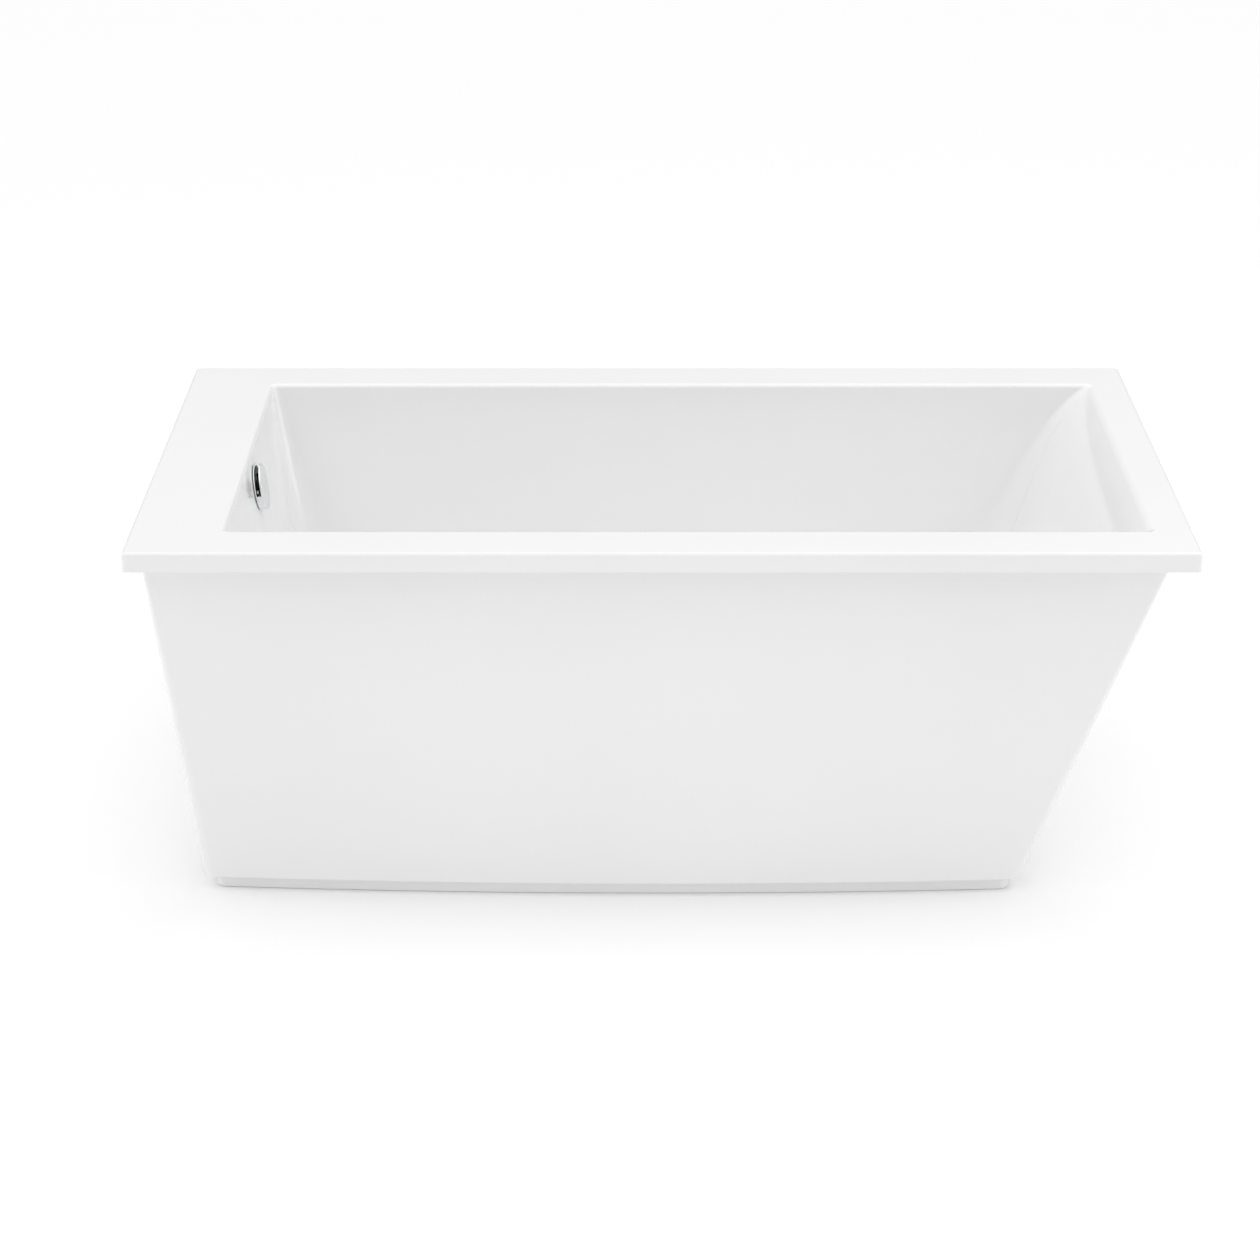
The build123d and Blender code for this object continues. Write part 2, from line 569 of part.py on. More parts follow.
def foot_pad(x, y):
    """A disc with a bevelled top and a blind hole for the stem's spigot."""
    disc = cylinder(PAD_RADIUS, 0, PAD_HEIGHT, x, y)
    disc = chamfer(disc.faces().sort_by(Axis.Z)[-1].edges(), PAD_BEVEL)
    return disc - cylinder(SPIGOT_RADIUS + RUNNING_CLEARANCE, PAD_HEIGHT - SPIGOT_DEPTH - 1, PAD_HEIGHT, x, y)


def foot_stem(x, y):
    """A threaded stem that turns in the weld nut and on the pad."""
    start = PAD_HEIGHT + MOVING_GAP
    stem = cylinder(STEM_RADIUS, start, STEM_HEIGHT, x, y)
    stem = stem + cylinder(SPIGOT_RADIUS, PAD_HEIGHT - SPIGOT_DEPTH, start, x, y)
    flats = hexagon(2 * (STEM_RADIUS + STEM_STEP), start, start + NUT_HEIGHT / 2, x, y)
    return stem + flats


def nuts(bottom):
    """The same hexagon nut on each of the four stems."""
    bore = STEM_RADIUS + RUNNING_CLEARANCE
    each = []
    for x, y in FEET.values():
        nut = hexagon(NUT_ACROSS_FLATS, bottom, bottom + NUT_HEIGHT, x, y)
        each.append(nut - cylinder(bore, bottom, bottom + NUT_HEIGHT, x, y))
    return Compound(each)


def skirt_brackets():
    """Angle brackets from the long rails to the skirt's bottom flange."""
    brackets = []
    shelf = APRON_BOTTOM + APRON_WALL
    inner = RAIL_Y + TUBE_SIZE / 2
    outer = BRACKET_SCREW_Y + SCREW_HEAD_RADIUS + BRACKET_MARGIN
    for x, y in bracket_screws():
        side = 1 if y > 0 else -1
        half = BRACKET_WIDTH / 2
        foot_y = sorted((side * inner, side * outer))
        leg_y = sorted((side * inner, side * (inner + BRACKET_THICK)))
        foot = block(x - half, x + half, *foot_y, shelf, shelf + BRACKET_THICK)
        leg = block(x - half, x + half, *leg_y, shelf, shelf + BRACKET_LEG)
        brackets.append(drill_skirt_holes(foot + leg))
    return Compound(brackets)


def skirt_screws():
    """Pan-head screws through each bracket, the skirt's flange and the plinth's."""
    seat = APRON_BOTTOM + APRON_WALL + BRACKET_THICK
    tip = APRON_BOTTOM - PLINTH_WALL - 2
    screws = []
    for x, y in bracket_screws():
        head = cylinder(SCREW_HEAD_RADIUS, seat, seat + SCREW_HEAD_HEIGHT, x, y)
        head = fillet(head.faces().sort_by(Axis.Z)[-1].edges(), SCREW_HEAD_HEIGHT / 2)
        screws.append(head + cylinder(SCREW_RADIUS, tip, seat, x, y))
    return Compound(screws)


def overflow_washer():
    disc = ring(OVERFLOW_WASHER_RADIUS, OVERFLOW_HOLE_RADIUS, 0, OVERFLOW_WASHER_THICK)
    return on_overflow(drill_overflow_screws(disc))


def drill_overflow_screws(solid):
    for side in (-1, 1):
        x = side * OVERFLOW_SCREW_SPREAD
        solid = solid - cylinder(SCREW_RADIUS + SCREW_CLEARANCE, -TUBE_SIZE, TUBE_SIZE, x)
    return solid


def overflow_retainer():
    """The ring that holds the overflow elbow to the wall, with a bar and hub that carry the cover."""
    bottom = OVERFLOW_WASHER_THICK
    top = bottom + RETAINER_THICK
    body = ring(RETAINER_RADIUS, OVERFLOW_HOLE_RADIUS, bottom, top)
    half = RETAINER_BAR / 2
    body = body + block(-OVERFLOW_HOLE_RADIUS - 1, OVERFLOW_HOLE_RADIUS + 1, -half, half, bottom, top)
    hub_top = OVERFLOW_WASHER_THICK + COVER_HEIGHT - COVER_FACE
    body = body + cylinder(RETAINER_HUB_RADIUS, bottom, hub_top)
    return on_overflow(drill_overflow_screws(body))


def overflow_screws():
    seat = OVERFLOW_WASHER_THICK + RETAINER_THICK
    tip = -SHELL_WALL - GASKET_THICK - ELBOW_FLANGE_THICK
    screws = []
    for side in (-1, 1):
        x = side * OVERFLOW_SCREW_SPREAD
        head = cylinder(OVERFLOW_SCREW_HEAD_RADIUS, seat, seat + SCREW_HEAD_HEIGHT, x)
        screws.append(on_overflow(head + cylinder(SCREW_RADIUS, tip, seat, x)))
    return Compound(screws)


def overflow_cover():
    """A round drum: a face, a thin back ring, and a rim that is left out along its upper half."""
    back = OVERFLOW_WASHER_THICK
    face_back = back + COVER_HEIGHT - COVER_FACE
    face = cylinder(COVER_RADIUS, face_back, back + COVER_HEIGHT)
    face = fillet(face.edges().filter_by(GeomType.CIRCLE), COVER_EDGE)
    rim = ring(COVER_RADIUS, COVER_RADIUS - COVER_WALL, back + COVER_BACK_RING, face_back + COVER_EDGE)
    half = math.radians(COVER_SLOT_HALF_ANGLE)
    reach = 2 * COVER_RADIUS
    corner = (reach * math.sin(half), reach * math.cos(half))
    fan = Polygon((0, 0), corner, (reach, reach), (-reach, reach), (-corner[0], corner[1]), align=None)
    rim = rim - extrude(Pos(0, 0, back) * fan, face_back - back)
    back_ring = ring(COVER_RADIUS, COVER_RADIUS - COVER_WALL, back, back + COVER_BACK_RING)
    level = (back + COVER_BACK_RING + face_back) / 2
    hole = Pos(0, -COVER_RADIUS, level) * Rot(90, 0, 0) * Cylinder(SET_SCREW_RADIUS, 4 * COVER_WALL)
    return on_overflow(face + rim + back_ring - hole)


def overflow_set_screw():
    """Up through the bottom of the cover's rim to its hub."""
    back = OVERFLOW_WASHER_THICK
    level = (back + COVER_BACK_RING + back + COVER_HEIGHT - COVER_FACE) / 2
    outer = COVER_RADIUS - SET_SCREW_RECESS
    length = outer - RETAINER_HUB_RADIUS
    middle = -(outer + RETAINER_HUB_RADIUS) / 2
    screw = Pos(0, middle, level) * Rot(90, 0, 0) * Cylinder(SET_SCREW_RADIUS, length)
    key = extrude(RegularPolygon(SET_SCREW_KEY_RADIUS, 6), SET_SCREW_RADIUS, both=True)
    socket = Pos(0, -outer, level) * Rot(90, 0, 0) * key
    return on_overflow(screw - socket)


def overflow_gasket():
    bottom = -SHELL_WALL - GASKET_THICK
    disc = ring(GASKET_RADIUS, OVERFLOW_HOLE_RADIUS, bottom, -SHELL_WALL - GASKET_CLEARANCE)
    return on_overflow(drill_overflow_screws(disc))


def overflow_corner():
    """Where the overflow elbow's slanted bore meets its upright one."""
    plane = overflow_plane()
    run = (OVERFLOW_PIPE_X - plane.origin.X) / plane.z_dir.X
    return plane.origin + plane.z_dir * run


def overflow_elbow():
    """From the gasket to an upright socket for the overflow tube."""
    corner = overflow_corner()
    run = (corner - overflow_plane().origin).length
    seat = -SHELL_WALL - GASKET_THICK
    flange = ring(GASKET_RADIUS, SOCKET_BORE, seat - ELBOW_FLANGE_THICK, seat)
    neck = cylinder(SOCKET_RADIUS, -run, seat)
    socket_bottom = corner.Z - SOCKET_LENGTH
    outside = on_overflow(drill_overflow_screws(neck + flange))
    outside = outside + Pos(*corner) * Sphere(SOCKET_RADIUS)
    outside = outside + cylinder(SOCKET_RADIUS, socket_bottom, corner.Z, corner.X)
    inside = on_overflow(cylinder(SOCKET_BORE, -run, seat + 1))
    inside = inside + Pos(*corner) * Sphere(SOCKET_BORE)
    inside = inside + cylinder(SOCKET_BORE, socket_bottom - 1, corner.Z, corner.X)
    return outside - inside


def pipe(length):
    """A thin tube along local Z from the origin."""
    return ring(PIPE_RADIUS, PIPE_RADIUS - PIPE_WALL, 0, length)


def overflow_tube():
    """From the overflow elbow down to the lower elbow."""
    bottom = PIPE_LEVEL + SOCKET_RADIUS
    top = overflow_corner().Z - SOCKET_RADIUS
    return Pos(OVERFLOW_PIPE_X, 0, bottom) * pipe(top - bottom)


def lower_elbow():
    """Turns the overflow's upright tube towards the waste shoe."""
    x = OVERFLOW_PIPE_X
    along = Rot(0, 90, 0)
    outside = cylinder(SOCKET_RADIUS, PIPE_LEVEL, PIPE_LEVEL + SOCKET_LENGTH, x)
    outside = outside + Pos(x, 0, PIPE_LEVEL) * Sphere(SOCKET_RADIUS)
    outside = outside + Pos(x, 0, PIPE_LEVEL) * along * cylinder(SOCKET_RADIUS, 0, SOCKET_LENGTH)
    inside = cylinder(SOCKET_BORE, PIPE_LEVEL, PIPE_LEVEL + SOCKET_LENGTH + 1, x)
    inside = inside + Pos(x, 0, PIPE_LEVEL) * Sphere(SOCKET_BORE)
    inside = inside + Pos(x, 0, PIPE_LEVEL) * along * cylinder(SOCKET_BORE, 0, SOCKET_LENGTH + 1)
    return outside - inside


def link_tube():
    """Between the lower elbow and the waste shoe's side inlet."""
    start = OVERFLOW_PIPE_X + SOCKET_RADIUS
    end = DRAIN_X - SHOE_RADIUS - SLIP_WASHER_HEIGHT
    return Pos(start, 0, PIPE_LEVEL) * Rot(0, 90, 0) * pipe(end - start)


def waste_shoe():
    """The tee under the drain: the drain flange screws in above, the overflow comes in at the side."""
    flange_top = DRAIN_UNDERSIDE - SHOE_GASKET_THICK
    side_end = -(SHOE_RADIUS + PIPE_ENGAGEMENT)
    body = cylinder(SHOE_FLANGE_RADIUS, flange_top - SHOE_FLANGE_THICK, flange_top)
    body = body + cylinder(SHOE_RADIUS, SHOE_FLOOR + SLIP_NUT_HEIGHT, flange_top)
    body = body + cylinder(SOCKET_RADIUS, SHOE_FLOOR, flange_top)
    inlet = Pos(0, 0, PIPE_LEVEL) * Rot(0, -90, 0)
    body = body + inlet * cylinder(SOCKET_RADIUS, 0, -side_end)
    thread_end = FLANGE_TOP - FLANGE_THICK - FLANGE_BODY_DEPTH
    body = body - cylinder(FLANGE_BODY_RADIUS, thread_end - 1, flange_top + 1)
    body = body - cylinder(SOCKET_BORE, SHOE_FLOOR - 1, flange_top)
    body = body - inlet * cylinder(SOCKET_BORE, SOCKET_RADIUS, -side_end + 1)
    body = body - inlet * cylinder(PIPE_RADIUS - PIPE_WALL, 0, -side_end)
    return Pos(DRAIN_X, 0, 0) * body


def tailpiece():
    """Down from the waste shoe, for the house's trap, with a bead that keeps the slip nut up."""
    nut_bottom = SHOE_FLOOR - SLIP_WASHER_HEIGHT - SLIP_NUT_FACE
    tube = Pos(0, 0, TAILPIECE_BOTTOM) * pipe(SHOE_FLOOR + TAILPIECE_SEAT - TAILPIECE_BOTTOM)
    bead = ring(PIPE_RADIUS + BEAD_PROUD, PIPE_RADIUS - PIPE_WALL, nut_bottom - BEAD_HEIGHT, nut_bottom)
    return Pos(DRAIN_X, 0, 0) * (tube + bead)


def slip_joint_places():
    """Each joint's location, with local Z running out of its socket."""
    corner = overflow_corner()
    return {
        "upper": Pos(corner.X, 0, corner.Z - SOCKET_LENGTH) * Rot(180, 0, 0),
        "elbow_top": Pos(OVERFLOW_PIPE_X, 0, PIPE_LEVEL + SOCKET_LENGTH),
        "elbow_side": Pos(OVERFLOW_PIPE_X + SOCKET_LENGTH, 0, PIPE_LEVEL) * Rot(0, 90, 0),
        "shoe_side": Pos(DRAIN_X - SHOE_RADIUS - PIPE_ENGAGEMENT, 0, PIPE_LEVEL) * Rot(0, -90, 0),
        "tailpiece": Pos(DRAIN_X, 0, SHOE_FLOOR) * Rot(180, 0, 0),
    }


def slip_nut():
    """A ribbed ring nut that caps a socket and closes on the tube."""
    face = SLIP_WASHER_HEIGHT + SLIP_NUT_FACE
    skirt = SLIP_NUT_HEIGHT - face
    nut = ring(SLIP_NUT_RADIUS, SOCKET_RADIUS, -skirt, 0)
    nut = nut + ring(SLIP_NUT_RADIUS, PIPE_RADIUS + 1, SLIP_WASHER_HEIGHT, face)
    nut = nut + ring(SLIP_NUT_RADIUS, SOCKET_RADIUS, 0, SLIP_WASHER_HEIGHT)
    ribs = PolarLocations(SLIP_NUT_RADIUS, 12)
    for place in ribs:
        middle = (face - skirt) / 2
        nut = nut - place * (Pos(0, 0, middle) * Cylinder(1.6, SLIP_NUT_HEIGHT + 2))
    return nut


def slip_nuts():
    return {f"slip_nut_{name}": place * slip_nut() for name, place in slip_joint_places().items()}


def slip_washers():
    """A tapered rubber washer under each slip nut."""
    washer = ring(SOCKET_RADIUS - 0.2, PIPE_RADIUS, 0, SLIP_WASHER_HEIGHT)
    return Compound([place * washer for place in slip_joint_places().values()])


def drain_flange():
    """The chrome seat in the floor, its threaded body and the spoked hub that carries the latch post."""
    plate = cylinder(FLANGE_RADIUS, DISH_LEVEL, FLANGE_TOP)
    plate = fillet(plate.faces().sort_by(Axis.Z)[-1].edges(), FLANGE_THICK / 2)
    bottom = DISH_LEVEL - FLANGE_BODY_DEPTH
    body = plate + cylinder(FLANGE_BODY_RADIUS, bottom, DISH_LEVEL) - cylinder(FLANGE_BORE, bottom, FLANGE_TOP)
    hub_top = FLANGE_TOP - SPOKE_DEPTH
    hub = cylinder(SPOKE_HUB_RADIUS, hub_top - SPOKE_HEIGHT, hub_top)
    for turn in range(3):
        half = SPOKE_WIDTH / 2
        spoke = block(0, FLANGE_BORE + 1, -half, half, hub_top - SPOKE_HEIGHT, hub_top)
        hub = hub + Rot(0, 0, 120 * turn) * spoke
    hub = hub - cylinder(POST_THREAD_RADIUS, hub_top - SPOKE_HEIGHT, hub_top)
    return Pos(DRAIN_X, 0, 0) * (body + hub)


def latch_post():
    """The fixed post that the stopper slides on."""
    hub_top = FLANGE_TOP - SPOKE_DEPTH
    post = cylinder(POST_RADIUS, hub_top, FLANGE_TOP - POST_TOP_DEPTH)
    post = post + cylinder(POST_THREAD_RADIUS, hub_top - SPOKE_HEIGHT - 2, hub_top)
    return Pos(DRAIN_X, 0, 0) * post


def stopper_underside():
    return FLANGE_TOP + MOVING_GAP + SEAL_HEIGHT / 2


def stopper_cap():
    """The domed cap, with a groove for its seal and a socket for the sleeve."""
    bottom = stopper_underside()
    top = bottom + CAP_THICK
    shoulder = top - CAP_CROWN
    disc = cylinder(CAP_RADIUS, bottom, shoulder)
    disc = fillet(disc.faces().sort_by(Axis.Z)[-1].edges(), CAP_EDGE)
    crown_radius = CAP_RADIUS - CAP_EDGE
    dome_radius = (crown_radius**2 + CAP_CROWN**2) / (2 * CAP_CROWN)
    dome = Pos(0, 0, top - dome_radius) * Sphere(dome_radius)
    cap = disc + (dome & cylinder(crown_radius, shoulder, top + 1))
    cap = cap - ring(SEAL_RADIUS, SEAL_INNER_RADIUS, bottom, bottom + SEAL_HEIGHT / 2)
    return Pos(DRAIN_X, 0, 0) * cap


def stopper_seal():
    bottom = FLANGE_TOP + MOVING_GAP
    return ring(SEAL_RADIUS, SEAL_INNER_RADIUS, bottom, bottom + SEAL_HEIGHT, DRAIN_X)


def stopper_sleeve():
    """The tube under the cap that runs on the latch post and holds the spring."""
    top = stopper_underside()
    sleeve = cylinder(SLEEVE_RADIUS, top - SLEEVE_LENGTH, top)
    bore = cylinder(POST_RADIUS + RUNNING_CLEARANCE, top - SLEEVE_LENGTH, top - SLEEVE_ROOF)
    return Pos(DRAIN_X, 0, 0) * (sleeve - bore)


def stopper_spring():
    """A coil between the latch post and the closed end of the sleeve."""
    bottom = FLANGE_TOP - POST_TOP_DEPTH + SPRING_WIRE + MOVING_GAP
    top = stopper_underside() - SLEEVE_ROOF - SPRING_WIRE - MOVING_GAP
    height = top - bottom
    path = Helix(height / SPRING_TURNS, height, SPRING_RADIUS)
    start = Plane(origin=path @ 0, z_dir=path % 0)
    coil = sweep(start * Circle(SPRING_WIRE), path, is_frenet=True)
    return Pos(DRAIN_X, 0, bottom) * coil


def shoe_gasket():
    bottom = DRAIN_UNDERSIDE - SHOE_GASKET_THICK
    return ring(SHOE_FLANGE_RADIUS - 1, FLANGE_BODY_RADIUS + 0.5, bottom, DRAIN_UNDERSIDE, DRAIN_X)


def build_nodes():
    nodes = {"tub_shell": tub_shell(), "apron": apron(), "plinth": plinth()}
    nodes.update(rim_stiffeners())
    nodes.update({"bond_bead": bond_bead(), "floor_board": floor_board()})
    nodes.update({"base_rail_front": rail(-1), "base_rail_back": rail(1), "rail_caps": rail_caps()})
    for name, x in CROSS_POSITIONS.items():
        nodes[f"cross_member_{name}"] = cross_member(x)
        nodes[f"bearer_{name}"] = bearer(x)
    for name, place in FEET.items():
        nodes[f"foot_pad_{name}"] = foot_pad(*place)
        nodes[f"foot_stem_{name}"] = foot_stem(*place)
    nodes["foot_locknuts"] = nuts(RAIL_BOTTOM - NUT_HEIGHT)
    nodes["foot_weld_nuts"] = nuts(RAIL_TOP)
    nodes.update({"skirt_brackets": skirt_brackets(), "skirt_screws": skirt_screws()})
    nodes.update({"overflow_cover": overflow_cover(), "overflow_set_screw": overflow_set_screw()})
    nodes.update({"overflow_retainer": overflow_retainer(), "overflow_screws": overflow_screws()})
    nodes.update({"overflow_washer": overflow_washer(), "overflow_gasket": overflow_gasket()})
    nodes.update({"overflow_elbow": overflow_elbow(), "overflow_tube": overflow_tube()})
    nodes.update({"lower_elbow": lower_elbow(), "link_tube": link_tube()})
    nodes.update(slip_nuts())
    nodes.update({"slip_washers": slip_washers(), "drain_flange": drain_flange(), "latch_post": latch_post()})
    nodes.update({"stopper_cap": stopper_cap(), "stopper_seal": stopper_seal()})
    nodes.update({"stopper_sleeve": stopper_sleeve(), "stopper_spring": stopper_spring()})
    nodes.update({"shoe_gasket": shoe_gasket(), "waste_shoe": waste_shoe(), "tailpiece": tailpiece()})
    return nodes


os.makedirs("parts", exist_ok=True)
for node_name, solid in build_nodes().items():
    export_step(solid, f"parts/{node_name}.step")
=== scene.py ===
import json
import math

import bmesh
import bpy
import numpy as np
from mathutils import Matrix, Vector


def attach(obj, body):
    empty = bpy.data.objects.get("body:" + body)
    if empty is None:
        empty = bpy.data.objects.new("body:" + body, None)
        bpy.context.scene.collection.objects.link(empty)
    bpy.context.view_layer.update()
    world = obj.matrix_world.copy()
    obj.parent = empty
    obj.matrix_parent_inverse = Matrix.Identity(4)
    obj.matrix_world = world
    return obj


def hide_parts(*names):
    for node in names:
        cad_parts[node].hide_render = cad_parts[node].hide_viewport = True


# A freestanding bathtub in white acrylic. Metres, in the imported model's frame: origin on the floor under the
# middle of the deck, +X to the backrest, +Z up. The shell, skirt and plinth are rebuilt here as dense smooth
# meshes from the same formulas as the CAD solids; everything else keeps its CAD mesh and gets a material.

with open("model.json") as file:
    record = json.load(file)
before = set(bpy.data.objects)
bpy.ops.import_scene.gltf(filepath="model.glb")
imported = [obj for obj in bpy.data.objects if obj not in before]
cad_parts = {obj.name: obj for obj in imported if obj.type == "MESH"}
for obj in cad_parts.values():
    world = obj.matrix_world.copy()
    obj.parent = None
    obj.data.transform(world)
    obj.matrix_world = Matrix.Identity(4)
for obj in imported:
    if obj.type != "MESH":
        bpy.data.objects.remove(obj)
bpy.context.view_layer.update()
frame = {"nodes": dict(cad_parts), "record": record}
MM = 0.001

# Sizes shared with the CAD model, in millimetres
DECK_LENGTH = 1676.0
DECK_WIDTH = 914.0
TUB_HEIGHT = 622.0
LIP_HEIGHT = 32.0
DECK_CORNER = 6.5
DECK_EDGE = 6.0
SHELL_WALL = 6.0
MOUTH_LEFT = -688.0
MOUTH_RIGHT = 774.0
MOUTH_HALF_WIDTH = 360.0
BASIN_DEPTH = 488.0
LEFT_DRAFT = math.radians(8)
SIDE_DRAFT = math.radians(12)
BACKREST_LEAN = 0.38
ROLL_RUN = 44.0
ROLL_DEPTH = 46.0
MOUTH_EDGE = 6.0
MOUTH_CORNER = 10.0
FLOOR_CORNER = 96.0
MOUTH_BOW = 0.3
SIDE_BOW = 30.0
BASIN_FLOOR_RADIUS = 80.0
FLOOR_FALL = 0.01
DRAIN_SETBACK = 49.4
DISH_RADIUS = 40.0
DISH_DEPTH = 3.0
DRAIN_HOLE = 23.6
OVERFLOW_DEPTH = 61.0
OVERFLOW_HOLE = 24.0
APRON_WALL = 5.0
APRON_BOTTOM = 25.0
APRON_TOP = (-814.0, 798.0, 422.0, 1e6, 7.0)  # left, right, half width, side radius, corner radius
APRON_FOOT = (-750.4, 593.0, 417.5, 10900.0, 26.0)
APRON_RETURN = 36.0
PLINTH = (-732.4, 575.0, 403.0, 10885.5, 18.75)
PLINTH_WALL = 5.0
PLINTH_RETURN = 30.0
PLINTH_FLOOR_GAP = 1.5
LIP_GAP = 0.5

# Derived from them
LIP_BOTTOM = TUB_HEIGHT - LIP_HEIGHT
FLOOR_WALL_LEFT = MOUTH_LEFT + BASIN_DEPTH * math.tan(LEFT_DRAFT)
FLOOR_WALL_RIGHT = MOUTH_RIGHT - ROLL_RUN - BACKREST_LEAN * BASIN_DEPTH
BOW_HALF_CHORD = (FLOOR_WALL_RIGHT - FLOOR_WALL_LEFT) / 2
DRAIN_X = FLOOR_WALL_LEFT + BASIN_FLOOR_RADIUS + DRAIN_SETBACK

# How finely the outlines are divided: each end, each side, each corner
END_STEPS = 32
SIDE_STEPS = 84
CORNER_STEPS = 10


# Outlines and rings

def spread(a, b, steps):
    """Evenly spaced points from a to b without b."""
    t = np.arange(steps)[:, None] / steps
    return np.asarray(a) * (1 - t) + np.asarray(b) * t


def arc(centre, radius, start, end, steps):
    """Points along an arc from one angle to another, without the last."""
    t = start + (end - start) * np.arange(steps) / steps
    return np.c_[centre[0] + radius * np.cos(t), centre[1] + radius * np.sin(t)]


def outline(left, right, half_width, side_radius, corner, bow_middle=0.0):
    """A clockwise outline with straight ends and bowed sides, always with the same number of points."""
    centre_y = half_width - side_radius
    reach = side_radius - corner

    def corner_centre(end, inward):
        cx = end + inward * corner
        return cx, centre_y + math.sqrt(reach**2 - (cx - bow_middle) ** 2)

    lx, ly = corner_centre(left, 1)
    rx, ry = corner_centre(right, -1)
    left_angle = math.atan2(ly - centre_y, lx - bow_middle)
    right_angle = math.atan2(ry - centre_y, rx - bow_middle)
    back = [
        spread((left, -ly), (left, ly), END_STEPS),
        arc((lx, ly), corner, math.pi, left_angle, CORNER_STEPS),
        arc((bow_middle, centre_y), side_radius, left_angle, right_angle, SIDE_STEPS),
        arc((rx, ry), corner, right_angle, 0, CORNER_STEPS),
    ]
    front = [
        spread((right, ry), (right, -ry), END_STEPS),
        arc((rx, -ry), corner, 0, -right_angle, CORNER_STEPS),
        arc((bow_middle, -centre_y), side_radius, -right_angle, -left_angle, SIDE_STEPS),
        arc((lx, -ly), corner, -left_angle, -math.pi, CORNER_STEPS),
    ]
    return np.vstack(back + front)


def rectangle(inset, corner):
    """The deck's rectangle, moved in."""
    return outline(-DECK_LENGTH / 2 + inset, DECK_LENGTH / 2 - inset, DECK_WIDTH / 2 - inset, 1e7, corner)


def at_level(points, level):
    return np.c_[points, np.full(len(points), level)]


def blend_rings(a, b, shares):
    """Rings between two others."""
    return [a * (1 - t) + b * t for t in shares]


def rings_mesh(name, rings, closed=True):
    """A smooth quad mesh through rings of equal length, given in millimetres."""
    count = len(rings[0])
    points = np.vstack(rings) * MM
    faces = []
    last = len(rings) if closed else len(rings) - 1
    for r in range(last):
        a = r * count
        b = (r + 1) % len(rings) * count
        for i in range(count):
            j = (i + 1) % count
            faces.append((a + i, a + j, b + j, b + i))
    mesh = bpy.data.meshes.new(name)
    mesh.from_pydata(points.tolist(), [], faces)
    mesh.validate()
    tidy = bmesh.new()
    tidy.from_mesh(mesh)
    bmesh.ops.recalc_face_normals(tidy, faces=tidy.faces)
    tidy.to_mesh(mesh)
    tidy.free()
    mesh.shade_smooth()
    piece = bpy.data.objects.new(name, mesh)
    bpy.context.collection.objects.link(piece)
    return piece


def weigh_normals(piece):
    weighted = piece.modifiers.new("weighted_normals", "WEIGHTED_NORMAL")
    weighted.weight = 80
    weighted.keep_sharp = False


def cut_with(piece, cutter):
    """Takes the cutter's volume out of the piece for good, and removes the cutter."""
    modifier = piece.modifiers.new("cut", "BOOLEAN")
    modifier.operation = "DIFFERENCE"
    modifier.solver = "EXACT"
    modifier.object = cutter
    graph = bpy.context.evaluated_depsgraph_get()
    result = bpy.data.meshes.new_from_object(piece.evaluated_get(graph))
    piece.modifiers.clear()
    piece.data = result
    bpy.data.objects.remove(cutter)


# The shell

def basin_ring(depth, offset=0.0, wall=0.0):
    """The basin's outline at a depth below the deck, grown by offset, or by a wall square to the backrest."""
    share = depth / BASIN_DEPTH
    grow = offset + wall
    fade = math.exp(-depth / ROLL_DEPTH)
    slope = ROLL_RUN / ROLL_DEPTH * fade + BACKREST_LEAN
    left = MOUTH_LEFT + depth * math.tan(LEFT_DRAFT) - grow
    right = MOUTH_RIGHT - ROLL_RUN * (1 - fade) - BACKREST_LEAN * depth
    right += offset + wall * math.sqrt(1 + slope**2)
    bow = MOUTH_BOW + SIDE_BOW * share**1.5
    half_width = MOUTH_HALF_WIDTH - depth * math.tan(SIDE_DRAFT) + bow + grow
    side_radius = BOW_HALF_CHORD**2 / (2 * bow) + grow
    corner = MOUTH_CORNER + (FLOOR_CORNER - MOUTH_CORNER) * share + grow
    middle = (MOUTH_LEFT + MOUTH_RIGHT) / 2 - BACKREST_LEAN * depth / 2
    points = outline(left, right, half_width, side_radius, corner, middle)
    level = TUB_HEIGHT - depth + (points[:, 0] - DRAIN_X) * FLOOR_FALL * share
    return np.c_[points, level]


def drain_circle(radius, level, like):
    """A circle round the drain whose points lie in the same directions as another ring's."""
    angle = np.arctan2(like[:, 1], like[:, 0] - DRAIN_X)
    return np.c_[DRAIN_X + radius * np.cos(angle), radius * np.sin(angle), np.full(len(like), level)]


def mouth_rings():
    """The rounded edge between the deck and the basin."""
    rings = []
    for step in range(9):
        angle = math.pi / 2 * step / 9
        rings.append(basin_ring(MOUTH_EDGE * (1 - math.cos(angle)), MOUTH_EDGE * (1 - math.sin(angle))))
    return rings


def wall_rings():
    """Down the basin's walls, closer together near the rolled top."""
    knee = BASIN_DEPTH - BASIN_FLOOR_RADIUS
    steps = 64
    return [basin_ring(MOUTH_EDGE + (knee - MOUTH_EDGE) * (s / steps) ** 1.6) for s in range(steps)]


def floor_curve_rings():
    """Round the basin's lower edge and on to its flat floor."""
    rings = []
    steps = 22
    for step in range(steps + 1):
        angle = math.pi / 2 * step / steps
        depth = BASIN_DEPTH - BASIN_FLOOR_RADIUS * (1 - math.sin(angle))
        rings.append(basin_ring(depth, -BASIN_FLOOR_RADIUS * (1 - math.cos(angle))))
    return rings


